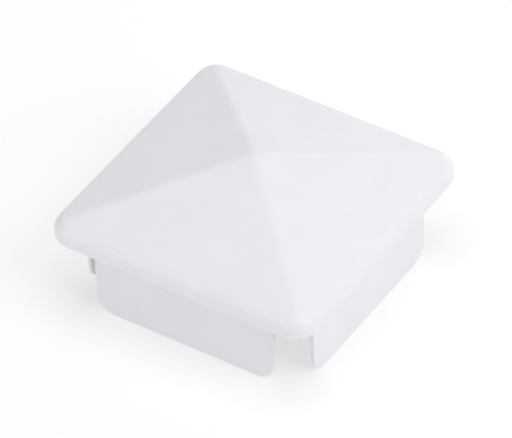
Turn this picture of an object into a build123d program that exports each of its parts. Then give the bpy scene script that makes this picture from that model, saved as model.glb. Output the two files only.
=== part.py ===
from build123d import *
import math
import os

# Snap-in pyramid cap for a square hollow fence post.
# The origin is the centre of the seat plane, where the post's cut end stops.
# +Z points up to the apex, and -Y is the front side. All lengths are in millimetres.

# ---- the post that the cap closes ----
post_width = 101.6           # outside of a nominal 4 x 4 in post
post_wall = 3.8

# ---- rim and lip ----
lip_play = 0.7               # slip gap between the post and the lip, on each side
lip_wall = 1.8
lip_drop = 5.0               # how far the lip reaches below the seat plane
rim_corner_radius = 9.2      # in plan
rim_bend_radius = 5.0        # from the lip into the roof
lip_edge_radius = 1.3        # outer bottom edge of the lip
inner_edge_radius = 0.3      # edges under the cap

# ---- roof ----
roof_slope = 18.5            # degrees above the horizontal
roof_wall = 2.0
apex_height = 19.7           # where the four roof planes meet, before the ridges are rounded
ridge_radius = 8.0

# ---- spring tabs, each a flat tongue with a round root ----
tab_play = 0.05              # gap between a tab and the inside of the post
tab_thickness = 1.4
tab_width = 73.6
tab_depth = 34.4             # below the seat plane
tab_corner_radius = 7.4
tab_edge_radius = 0.3
pocket_play = 0.05           # running gap round a tab's root
pocket_end_play = 0.1        # gap at each end of that root
pocket_web = 1.2             # wall left between a pocket and the hollow of the roof
hollow_corner_radius = 3.0

# ---- sizes worked out from the ones above ----
rim_half = post_width / 2 + lip_play + lip_wall
lip_inner_half = rim_half - lip_wall
lip_inner_corner = rim_corner_radius - lip_wall
root_radius = tab_thickness / 2
root_half = post_width / 2 - post_wall - tab_play - root_radius
pocket_radius = root_radius + pocket_play
hollow_half = root_half - pocket_radius - pocket_web
under_roof_height = apex_height - roof_wall / math.cos(math.radians(roof_slope))

SIDES = {"front": -90, "right": 0, "back": 90, "left": 180}
UP = Vector(0, 0, 1)
CLOSE = 0.01                 # how near an edge must be to the place that picks it


def side_directions(angle):
    """The outward direction of one side of the cap, and the direction along that side."""
    outward = Vector(math.cos(math.radians(angle)), math.sin(math.radians(angle)), 0)
    return outward, UP.cross(outward)


def cut_to_pyramid(height):
    """Trim the part being built to four sloping planes that meet at this height."""
    lean = math.radians(roof_slope)
    for angle in SIDES.values():
        outward, along = side_directions(angle)
        normal = outward * math.sin(lean) + UP * math.cos(lean)
        split(bisect_by=Plane(origin=(0, 0, height), x_dir=along, z_dir=normal), keep=Keep.BOTTOM)


def meets_apex(height):
    """A test for the edges that end on the Z axis at this height."""
    apex = Vector(0, 0, height)
    return lambda edge: any((Vector(vertex) - apex).length < CLOSE for vertex in edge.vertices())


def is_level(edge):
    """Is the middle of this edge closer to level than to upright?"""
    return abs((edge % 0.5).Z) < 0.5


def is_upright(face):
    return abs(face.normal_at().Z) < CLOSE


def make_outside():
    """The outside of the crown as a solid block: lip, bend and pyramid roof with rounded ridges."""
    with BuildPart() as outside:
        with BuildSketch(Plane.XY.offset(-lip_drop)):
            RectangleRounded(2 * rim_half, 2 * rim_half, rim_corner_radius)
        extrude(amount=lip_drop + apex_height)
        cut_to_pyramid(apex_height)
        fillet(outside.edges().filter_by(meets_apex(apex_height)), radius=ridge_radius)
        level_edges = outside.faces().filter_by(is_upright).edges().filter_by(is_level)
        fillet(level_edges.filter_by(lambda edge: (edge @ 0.5).Z > 0), radius=rim_bend_radius)
        fillet(outside.edges().group_by(Axis.Z)[0], radius=lip_edge_radius)
    return outside.part


def make_roof_hollow():
    """The space under the roof, inside the seat land."""
    with BuildPart() as hollow:
        with BuildSketch():
            RectangleRounded(2 * hollow_half, 2 * hollow_half, hollow_corner_radius)
        extrude(amount=under_roof_height)
        cut_to_pyramid(under_roof_height)
        ridges = hollow.edges().filter_by(meets_apex(under_roof_height))
        fillet(ridges, radius=ridge_radius - roof_wall)
    return hollow.part


def make_crown():
    """The roof and lip: one shell, with a flat land that sits on the post's cut end."""
    with BuildPart() as crown:
        add(make_outside())
        with BuildSketch(Plane.XY.offset(-lip_drop)):
            RectangleRounded(2 * lip_inner_half, 2 * lip_inner_half, lip_inner_corner)
        extrude(amount=lip_drop, mode=Mode.SUBTRACT)
        lip_underside = crown.faces().sort_by(Axis.Z)[0]
        fillet(lip_underside.inner_wires()[0].edges(), radius=inner_edge_radius)
        add(make_roof_hollow(), mode=Mode.SUBTRACT)
        land_outlines = crown.edges().filter_by(
            lambda edge: is_level(edge) and abs((edge @ 0.5).Z) < CLOSE
        )
        fillet(land_outlines, radius=inner_edge_radius)
        for angle in SIDES.values():
            outward, along = side_directions(angle)
            with BuildSketch(Plane(origin=outward * root_half, x_dir=outward, z_dir=along)):
                Circle(pocket_radius)
            extrude(amount=tab_width / 2 + pocket_end_play, both=True, mode=Mode.SUBTRACT)
    crown.part.label = "crown"
    return crown.part


def make_tab(side):
    """One spring tab: a flat tongue with rounded lower corners and a full-round root."""
    outward, along = side_directions(SIDES[side])
    through = Axis(origin=(0, 0, 0), direction=outward)
    with BuildPart() as tab:
        # the section across the tab: local X points inwards, local Y up, and the root is at the origin
        with BuildSketch(Plane(origin=outward * root_half, x_dir=-outward, z_dir=along)):
            with BuildLine():
                Polyline(
                    (-root_radius, 0),
                    (-root_radius, -tab_depth),
                    (root_radius, -tab_depth),
                    (root_radius, 0),
                )
                ThreePointArc((root_radius, 0), (0, root_radius), (-root_radius, 0))
            make_face()
        extrude(amount=tab_width / 2, both=True)
        fillet(tab.edges().group_by(Axis.Z)[0].filter_by(through), radius=tab_corner_radius)
        face_outlines = tab.faces().filter_by(through).edges()
        fillet(face_outlines.filter_by(lambda edge: (edge @ 0.5).Z < -CLOSE), radius=tab_edge_radius)
    tab.part.label = "tab_" + side
    return tab.part


os.makedirs("parts", exist_ok=True)
for piece in [make_crown()] + [make_tab(side) for side in SIDES]:
    export_step(piece, "parts/" + piece.label + ".step")
    print(piece.label, round(piece.volume), "mm3", piece.bounding_box())
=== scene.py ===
import math
import bmesh
import bpy
from mathutils import Matrix, Vector


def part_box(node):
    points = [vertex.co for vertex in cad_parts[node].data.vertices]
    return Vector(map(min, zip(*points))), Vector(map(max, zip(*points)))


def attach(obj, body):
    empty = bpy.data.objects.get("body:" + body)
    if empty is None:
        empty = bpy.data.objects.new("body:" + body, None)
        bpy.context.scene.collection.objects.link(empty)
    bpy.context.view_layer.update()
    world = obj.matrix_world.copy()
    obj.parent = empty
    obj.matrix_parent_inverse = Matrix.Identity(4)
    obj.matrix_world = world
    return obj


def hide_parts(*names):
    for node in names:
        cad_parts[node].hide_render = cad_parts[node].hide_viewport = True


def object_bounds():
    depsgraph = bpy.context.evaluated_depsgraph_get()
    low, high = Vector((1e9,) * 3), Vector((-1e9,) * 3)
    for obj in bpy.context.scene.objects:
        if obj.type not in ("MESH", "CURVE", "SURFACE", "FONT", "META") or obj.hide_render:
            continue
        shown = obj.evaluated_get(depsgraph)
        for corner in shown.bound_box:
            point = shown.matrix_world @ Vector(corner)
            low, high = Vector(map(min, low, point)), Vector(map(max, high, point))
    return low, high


# A white moulded cap for a square hollow fence post. Two kinds of piece are built here, in the
# frame's place and size: the crown's shell and the four spring tabs. Lengths are in metres.

MM = 0.001

# ---- the camera: its angles round the object, and its distance and aim in rim widths ----
VIEW_AZIMUTH = 33.37
VIEW_ELEVATION = 41.65
VIEW_ROLL = -1.47
LENS = 420.0
SENSOR = 36.0
CAMERA_DISTANCE = 19.66
AIM_RIGHT = 0.0015
AIM_UP = -0.0254
CLIP_START = 0.1
CLIP_END = 50

# ---- the studio: an even dome and four soft lights. Sizes and distances are in rim widths ----
WORLD_STRENGTH = 0.4
FLOOR_GLOW = 0.5
LIGHT_SIZE = 9
LIGHT_DISTANCE = 12
FLOOR_SIZE = 60
FLOOR_SHADE = 0.5
FLOOR_ROUGHNESS = 0.9

# ---- radii and walls of the crown ----
ROOF_SLOPE = math.radians(18.5)
ROOF_WALL = 2.0 * MM
RIDGE_RADIUS = 8.0 * MM
RIM_CORNER_RADIUS = 9.2 * MM
RIM_BEND_RADIUS = 5.0 * MM
LIP_WALL = 1.8 * MM
LIP_EDGE_RADIUS = 1.3 * MM
INNER_EDGE_RADIUS = 0.3 * MM
HOLLOW_CORNER_RADIUS = 3.0 * MM
POCKET_PLAY = 0.05 * MM
POCKET_END_PLAY = 0.1 * MM
POCKET_END_SLOPE = 0.25 * MM
POCKET_WEB = 1.2 * MM

# ---- radii of the tabs ----
TAB_CORNER_RADIUS = 7.4 * MM
TAB_EDGE_RADIUS = 0.3 * MM

# ---- the plastic's surface. Sizes are those of the patches ----
PLASTIC_DULL = (0.81, 0.79, 0.83)
PLASTIC_CLEAR = (0.83, 0.81, 0.85)
PLASTIC_ROUGHNESS = (0.40, 0.50)
PLASTIC_IOR = 1.53
NOISE_LOW = 0.3
NOISE_HIGH = 0.7
CLOUD_SIZE = 14 * MM
CLOUD_DETAIL = 4
GLOSS_SIZE = 5 * MM
GLOSS_DETAIL = 5
WAVE_SIZE = 30 * MM
WAVE_DETAIL = 0
WAVE_DEPTH = 0.05 * MM
PEEL_SIZE = 1.6 * MM
PEEL_DETAIL = 1
PEEL_DEPTH = 0.009 * MM
GRAIN_SIZE = 0.3 * MM
GRAIN_DETAIL = 2
GRAIN_DEPTH = 0.004 * MM

# ---- how finely the meshes are divided ----
SIDE_STEPS = 12              # from the middle of a side to its corner
CLOSEST_SHARE = 0.015        # stations nearer than this to a pocket's end are left out
CORNER_STEPS = 20
ROOF_STEPS = 22
ROOF_CROWDING = 1.5          # above 1, the roof's rings crowd towards the apex
BEND_STEPS = 10
BEND_PROBE = 0.02 * MM       # how far each way the roof's fall is measured
BEND_PASSES = 6
EDGE_STEPS = 6
SMALL_EDGE_STEPS = 3
POCKET_STEPS = 10
TAB_COLUMNS = 24
TAB_ROWS = 10
TAB_CORNER_STEPS = 10
TAB_LAYERS = 14
SHARP_ANGLE = math.radians(35)

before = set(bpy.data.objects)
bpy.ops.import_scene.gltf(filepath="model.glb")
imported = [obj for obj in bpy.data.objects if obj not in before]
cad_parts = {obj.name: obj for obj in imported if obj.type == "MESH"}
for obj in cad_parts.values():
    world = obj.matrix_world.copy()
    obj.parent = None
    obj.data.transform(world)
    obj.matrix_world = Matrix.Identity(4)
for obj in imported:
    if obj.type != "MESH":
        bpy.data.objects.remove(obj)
cad_low, cad_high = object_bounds()
middle = (cad_low + cad_high) / 2
crown_low, crown_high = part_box("crown")
tab_low, tab_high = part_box("tab_right")

rim_half = crown_high[0]
rim_width = 2 * rim_half
rim_straight = rim_half - RIM_CORNER_RADIUS
lip_bottom = crown_low[2]
# rounding the ridges lowers the apex from the point where the four roof planes meet
apex_height = crown_high[2] + RIDGE_RADIUS * (1 / math.cos(ROOF_SLOPE) - 1)
under_apex_height = apex_height - ROOF_WALL / math.cos(ROOF_SLOPE)
root_radius = (tab_high[0] - tab_low[0]) / 2
root_half = tab_low[0] + root_radius
tab_half_width = tab_high[1]
tab_bottom = tab_low[2]
pocket_radius = root_radius + POCKET_PLAY
pocket_end = tab_half_width + POCKET_END_PLAY
hollow_half = root_half - pocket_radius - POCKET_WEB

SIDES = ["right", "back", "left", "front"]     # counter-clockwise, from +X


# ---------------------------------------------------------------- the crown's shell


def pyramid_height(x, y, apex, ridge_radius):
    """Height over a point of a four-sided roof. Its planes meet at apex, its ridges are rounded."""
    far, near = max(abs(x), abs(y)), min(abs(x), abs(y))
    rise = math.tan(ROOF_SLOPE)
    if near <= far - ridge_radius * math.sin(ROOF_SLOPE):
        return apex - rise * far
    # the ridge is a round bar whose end is a ball under the apex
    ball = apex - ridge_radius / math.cos(ROOF_SLOPE)
    ridge_slope = math.atan(rise / math.sqrt(2))
    along, across = (far + near) / math.sqrt(2), (far - near) / math.sqrt(2)
    lift = math.sqrt(max(ridge_radius**2 - across**2, 0)) / math.cos(ridge_slope)
    height = ball - math.tan(ridge_slope) * along + lift
    if along * math.cos(ridge_slope) > (height - ball) * math.sin(ridge_slope):
        return height
    return ball + math.sqrt(max(ridge_radius**2 - far**2 - near**2, 0))


def roof_height(x, y):
    return pyramid_height(x, y, apex_height, RIDGE_RADIUS)


def under_roof_height(x, y):
    return pyramid_height(x, y, under_apex_height, RIDGE_RADIUS - ROOF_WALL)


def make_stations():
    """Places round a rounded square, counter-clockwise: (side, share), with the share of the
    side's straight half from -1 to 1, or of the corner after it from 1 to 2."""
    shares = [math.sin(math.pi / 2 * i / SIDE_STEPS) for i in range(SIDE_STEPS + 1)]
    ends = [pocket_end / rim_straight, (pocket_end + POCKET_END_SLOPE) / rim_straight]
    shares = sorted([s for s in shares if min(abs(s - end) for end in ends) > CLOSEST_SHARE] + ends)
    shares = [-s for s in reversed(shares) if s > 0] + shares
    shares += [1 + i / CORNER_STEPS for i in range(1, CORNER_STEPS)]
    return [(side, share) for side in range(4) for share in shares]


STATIONS = make_stations()


def outline(half, radius):
    """The points of a rounded square at the stations, each with its outward direction."""
    points = []
    for side, share in STATIONS:
        turn = math.pi / 2 * max(share - 1, 0)
        outward = Vector((math.cos(turn), math.sin(turn)))
        point = Vector((half - radius, (half - radius) * min(share, 1))) + outward * radius
        to_side = Matrix.Rotation(math.pi / 2 * side, 2)
        points.append((to_side @ point, to_side @ outward))
    return points


RIM = outline(rim_half, RIM_CORNER_RADIUS)


def rim_ring(inset, height):
    """A level ring, this far inside the rim."""
    return [(*(point - outward * inset), height) for point, outward in RIM]


def turns(steps):
    """The angles of a quarter turn, in equal steps."""
    return [math.pi / 2 * i / steps for i in range(steps + 1)]


def bend_rings():
    """Rings from the roof down round the bend to the top of the upright lip. The bend turns further
    at the corners, where the roof is less steep."""
    starts = []
    for point, outward in RIM:
        turn = math.pi / 2 - ROOF_SLOPE
        for _ in range(BEND_PASSES):
            start = point - outward * RIM_BEND_RADIUS * (1 - math.cos(turn))
            probe = outward * BEND_PROBE
            fall = roof_height(*(start - probe)) - roof_height(*(start + probe))
            turn = math.pi / 2 - math.atan2(fall, 2 * BEND_PROBE)
        centre = roof_height(*start) - RIM_BEND_RADIUS * math.sin(turn)
        starts.append((point, outward, turn, centre))
    rings = []
    for i in range(BEND_STEPS, -1, -1):
        ring = []
        for point, outward, turn, centre in starts:
            a = turn * i / BEND_STEPS
            place = point - outward * RIM_BEND_RADIUS * (1 - math.cos(a))
            ring.append((*place, centre + RIM_BEND_RADIUS * math.sin(a)))
        rings.append(ring)
    return rings


def spread_rings(edge_ring, height_at):
    """Rings on a roof from near its apex out to the edge ring, which isn't among them."""
    rings = []
    for i in range(1, ROOF_STEPS):
        share = (i / ROOF_STEPS) ** ROOF_CROWDING
        places = [(x * share, y * share) for x, y, _ in edge_ring]
        rings.append([(x, y, height_at(x, y)) for x, y in places])
    return rings


def lip_rings():
    """Rings from the lip's upright face round its lower edge and up inside to the seat land."""
    round_edge = [
        (LIP_EDGE_RADIUS * (1 - math.cos(a)), lip_bottom + LIP_EDGE_RADIUS * (1 - math.sin(a)))
        for a in turns(EDGE_STEPS)
    ]
    inside_edge = [
        (
            LIP_WALL - INNER_EDGE_RADIUS * (1 - math.sin(a)),
            lip_bottom + INNER_EDGE_RADIUS * (1 - math.cos(a)),
        )
        for a in turns(SMALL_EDGE_STEPS)
    ]
    land_corner = [
        (LIP_WALL + INNER_EDGE_RADIUS * (1 - math.cos(a)), -INNER_EDGE_RADIUS * (1 - math.sin(a)))
        for a in turns(SMALL_EDGE_STEPS)
    ]
    return [rim_ring(inset, height) for inset, height in round_edge + inside_edge + land_corner]


def pocket_rings():
    """Rings across the seat land, which rises into a half-round pocket along each side."""
    rings = []
    for i in range(POCKET_STEPS + 1):
        a = math.pi * i / POCKET_STEPS
        level = rim_ring(rim_half - root_half - pocket_radius * math.cos(a), 0)
        ring = []
        for (_, share), (x, y, _) in zip(STATIONS, level):
            in_pocket = abs(share) * rim_straight < pocket_end + POCKET_END_SLOPE / 2
            ring.append((x, y, pocket_radius * math.sin(a) if in_pocket else 0))
        rings.append(ring)
    return rings


def hollow_rings():
    """Rings from the seat land up the wall of the hollow to the underside of the roof."""
    rings = []
    for a in turns(SMALL_EDGE_STEPS):
        grow = INNER_EDGE_RADIUS * (1 - math.sin(a))
        height = INNER_EDGE_RADIUS * (1 - math.cos(a))
        square = outline(hollow_half + grow, HOLLOW_CORNER_RADIUS + grow)
        rings.append([(*point, height) for point, _ in square])
    rings.append([(x, y, under_roof_height(x, y)) for x, y, _ in rings[-1]])
    return rings


def shell_mesh(rings, first_tip, last_tip):
    """A closed mesh through the rings, with a fan to a tip at each end."""
    mesh = bmesh.new()
    rows = [[mesh.verts.new(co) for co in ring] for ring in rings]
    count = len(STATIONS)
    for upper, lower in zip(rows, rows[1:]):
        for i in range(count):
            j = (i + 1) % count
            mesh.faces.new((upper[i], upper[j], lower[j], lower[i]))
    for row, tip in ((rows[0], mesh.verts.new(first_tip)), (rows[-1], mesh.verts.new(last_tip))):
        for i in range(count):
            mesh.faces.new((row[i], row[(i + 1) % count], tip))
    return mesh


def make_crown_shell():
    bend = bend_rings()
    under = hollow_rings()
    rings = spread_rings(bend[0], roof_height) + bend + lip_rings() + pocket_rings() + under
    rings += reversed(spread_rings(under[-1], under_roof_height))
    mesh = shell_mesh(rings, (0, 0, roof_height(0, 0)), (0, 0, under_roof_height(0, 0)))
    return finish_piece(mesh, "crown_shell", "crown", "crown")


# ---------------------------------------------------------------- the tabs


def tab_half_widths(inset):
    """(half width, height) up one edge of a tab's outline, from its bottom to near its root."""
    radius = TAB_CORNER_RADIUS - inset
    half, bottom = tab_half_width - inset, tab_bottom + inset
    rows = [
        (half - radius * (1 - math.sin(a)), bottom + radius * (1 - math.cos(a)))
        for a in turns(TAB_CORNER_STEPS)
    ]
    start = rows[-1][1]
    return rows + [(half, start * (1 - i / TAB_ROWS)) for i in range(1, TAB_ROWS)]


def make_tab_tongue(side):
    """One tab: layers through its thickness, joined round its outline, and a grid on each face."""
    name = "tab_" + SIDES[side]
    turn = Matrix.Rotation(math.pi / 2 * side, 3, "Z")
    mesh = bmesh.new()
    layers = []
    for k in range(TAB_LAYERS + 1):
        depth = root_radius * math.sin(math.pi * (k / TAB_LAYERS - 0.5))
        past = max(abs(depth) - (root_radius - TAB_EDGE_RADIUS), 0)
        inset = TAB_EDGE_RADIUS - math.sqrt(max(TAB_EDGE_RADIUS**2 - past**2, 0))
        rows = tab_half_widths(inset)
        rows.append((rows[-1][0], math.sqrt(max(root_radius**2 - depth**2, 0))))
        layer = {}
        for i, (half, height) in enumerate(rows):
            for j in range(TAB_COLUMNS + 1):
                on_outline = i in (0, len(rows) - 1) or j in (0, TAB_COLUMNS)
                if on_outline or k in (0, TAB_LAYERS):
                    along = half * (2 * j / TAB_COLUMNS - 1)
                    layer[i, j] = mesh.verts.new(turn @ Vector((root_half + depth, along, height)))
        layers.append(layer)
    last = len(rows) - 1
    for layer in (layers[0], layers[-1]):
        for i in range(last):
            for j in range(TAB_COLUMNS):
                mesh.faces.new((layer[i, j], layer[i, j + 1], layer[i + 1, j + 1], layer[i + 1, j]))
    loop = [(0, j) for j in range(TAB_COLUMNS)] + [(i, TAB_COLUMNS) for i in range(last)]
    loop += [(last, j) for j in range(TAB_COLUMNS, 0, -1)] + [(i, 0) for i in range(last, 0, -1)]
    for near, far in zip(layers, layers[1:]):
        for here, there in zip(loop, loop[1:] + loop[:1]):
            mesh.faces.new((near[here], near[there], far[there], far[here]))
    return finish_piece(mesh, name + "_tongue", name, name)


# ---------------------------------------------------------------- every piece


def finish_piece(mesh, name, node, body):
    """Turns a mesh into a smooth piece that stands for a CAD node and rides on a body."""
    bmesh.ops.recalc_face_normals(mesh, faces=mesh.faces)
    data = bpy.data.meshes.new(name)
    mesh.to_mesh(data)
    mesh.free()
    data.shade_smooth()
    data.set_sharp_from_angle(angle=SHARP_ANGLE)
    piece = bpy.data.objects.new(name, data)
    bpy.context.scene.collection.objects.link(piece)
    normals = piece.modifiers.new("normals", "WEIGHTED_NORMAL")
    normals.keep_sharp = True
    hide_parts(node)
    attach(piece, body)
    return piece


def add_noise(tree, place, size, detail):
    """Even random variation over the object. The size is that of its patches, in metres."""
    noise = tree.nodes.new("ShaderNodeTexNoise")
    noise.inputs["Scale"].default_value = 1 / size
    noise.inputs["Detail"].default_value = detail
    tree.links.new(place, noise.inputs["Vector"])
    return noise.outputs["Fac"]


def add_range(tree, value, low, high):
    """Spreads a noise's middle values from low to high."""
    spread = tree.nodes.new("ShaderNodeMapRange")
    spread.inputs["From Min"].default_value = NOISE_LOW
    spread.inputs["From Max"].default_value = NOISE_HIGH
    spread.inputs["To Min"].default_value = low
    spread.inputs["To Max"].default_value = high
    tree.links.new(value, spread.inputs["Value"])
    return spread.outputs["Result"]


def add_bump(tree, height, depth, normal=None):
    """Bump this deep, in metres, on top of another bump's normal."""
    bump = tree.nodes.new("ShaderNodeBump")
    bump.inputs["Distance"].default_value = depth
    tree.links.new(height, bump.inputs["Height"])
    if normal:
        tree.links.new(normal, bump.inputs["Normal"])
    return bump.outputs["Normal"]


def make_plastic():
    """Satin white PVC: faintly cloudy, a little uneven in gloss, with the fine grain of its mould
    and the slow waviness of a thin moulded wall."""
    material = bpy.data.materials.new("white_plastic")
    material.use_nodes = True
    tree = material.node_tree
    shader = tree.nodes["Principled BSDF"]
    shader.inputs["IOR"].default_value = PLASTIC_IOR
    place = tree.nodes.new("ShaderNodeTexCoord").outputs["Object"]

    clouds = tree.nodes.new("ShaderNodeMix")
    clouds.data_type = "RGBA"
    clouds.inputs["A"].default_value = (*PLASTIC_DULL, 1)
    clouds.inputs["B"].default_value = (*PLASTIC_CLEAR, 1)
    cloudiness = add_range(tree, add_noise(tree, place, CLOUD_SIZE, CLOUD_DETAIL), 0, 1)
    tree.links.new(cloudiness, clouds.inputs["Factor"])
    tree.links.new(clouds.outputs["Result"], shader.inputs["Base Color"])

    gloss = add_range(tree, add_noise(tree, place, GLOSS_SIZE, GLOSS_DETAIL), *PLASTIC_ROUGHNESS)
    tree.links.new(gloss, shader.inputs["Roughness"])

    waves = add_bump(tree, add_noise(tree, place, WAVE_SIZE, WAVE_DETAIL), WAVE_DEPTH)
    peel = add_bump(tree, add_noise(tree, place, PEEL_SIZE, PEEL_DETAIL), PEEL_DEPTH, waves)
    grain = add_bump(tree, add_noise(tree, place, GRAIN_SIZE, GRAIN_DETAIL), GRAIN_DEPTH, peel)
    tree.links.new(grain, shader.inputs["Normal"])
    return material


# ---------------------------------------------------------------- floor, lights and camera


def make_floor():
    bpy.ops.mesh.primitive_plane_add(size=FLOOR_SIZE * rim_width, location=(0, 0, cad_low.z))
    floor = bpy.context.object
    floor.name = "floor"
    material = bpy.data.materials.new("floor_white")
    material.use_nodes = True
    shader = material.node_tree.nodes["Principled BSDF"]
    shader.inputs["Base Color"].default_value = (FLOOR_SHADE, FLOOR_SHADE, FLOOR_SHADE, 1)
    shader.inputs["Roughness"].default_value = FLOOR_ROUGHNESS
    shader.inputs["Emission Color"].default_value = (1, 1, 1, 1)
    shader.inputs["Emission Strength"].default_value = FLOOR_GLOW
    floor.data.materials.append(material)


def direction(azimuth, elevation):
    """The direction from the object towards this azimuth and elevation, in degrees."""
    a, e = math.radians(azimuth), math.radians(elevation)
    return Vector((math.sin(a) * math.cos(e), -math.cos(a) * math.cos(e), math.sin(e)))


def make_area_light(name, azimuth, elevation, power):
    """A large square soft light aimed at the object."""
    back = direction(azimuth, elevation)
    data = bpy.data.lights.new(name, "AREA")
    data.size = LIGHT_SIZE * rim_width
    data.energy = power
    light = bpy.data.objects.new(name, data)
    bpy.context.scene.collection.objects.link(light)
    light.location = middle + back * LIGHT_DISTANCE * rim_width
    light.rotation_euler = (-back).to_track_quat("-Z", "Y").to_euler()


def make_world(strength):
    world = bpy.data.worlds.new("studio")
    world.use_nodes = True
    background = world.node_tree.nodes["Background"]
    background.inputs["Color"].default_value = (1, 1, 1, 1)
    background.inputs["Strength"].default_value = strength
    bpy.context.scene.world = world


def make_camera():
    back = direction(VIEW_AZIMUTH, VIEW_ELEVATION)
    right = Vector((0, 0, 1)).cross(back).normalized()
    roll = Matrix.Rotation(math.radians(VIEW_ROLL), 3, back)
    right, up = roll @ right, roll @ back.cross(right)
    aim = middle + (right * AIM_RIGHT + up * AIM_UP) * rim_width
    data = bpy.data.cameras.new("camera")
    data.lens = LENS
    data.sensor_width = SENSOR
    data.clip_start = CLIP_START
    data.clip_end = CLIP_END
    camera = bpy.data.objects.new("camera", data)
    bpy.context.scene.collection.objects.link(camera)
    turn = Matrix((right, up, back)).transposed().to_4x4()
    camera.matrix_world = Matrix.Translation(aim + back * CAMERA_DISTANCE * rim_width) @ turn
    bpy.context.scene.camera = camera


plastic = make_plastic()
for piece in [make_crown_shell()] + [make_tab_tongue(side) for side in range(4)]:
    piece.data.materials.append(plastic)

make_floor()
make_world(WORLD_STRENGTH)
make_area_light("top_light", azimuth=0, elevation=89, power=4.5)
make_area_light("key_light", azimuth=90, elevation=40, power=7)
make_area_light("back_light", azimuth=180, elevation=20, power=4)
make_area_light("fill_light", azimuth=330, elevation=20, power=3.5)
make_camera()
bpy.context.scene.view_settings.view_transform = "Standard"
